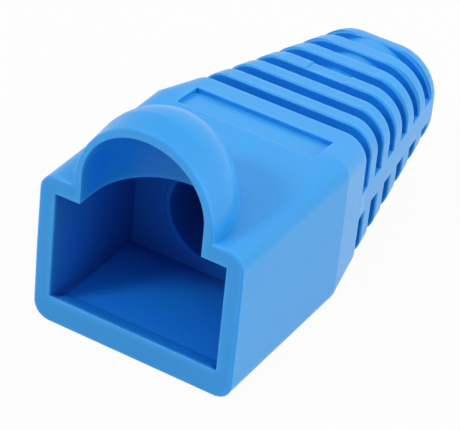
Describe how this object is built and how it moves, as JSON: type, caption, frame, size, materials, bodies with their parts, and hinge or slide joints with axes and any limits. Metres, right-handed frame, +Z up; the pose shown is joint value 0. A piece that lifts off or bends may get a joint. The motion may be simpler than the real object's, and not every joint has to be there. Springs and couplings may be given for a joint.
{
  "type": "rj45 strain relief boot",
  "caption": "Soft one-piece sleeve for a data cable plug: a box-shaped socket with an arched hood over the plug's latch, and a slotted tail that tapers to a round cable bore.",
  "frame": {"origin": "on the plane of the flat underside, below the middle of the length and width", "axes": "+Y along the cable from the plug's mouth to the tail's end, +Z up towards the hood, +X to the right as seen from the mouth"},
  "size_m": [0.014, 0.0298, 0.0164],
  "materials": {
    "boot": "satin"
  },
  "bodies": {
    "root": {"boot": "boot"}
  },
  "joints": []
}
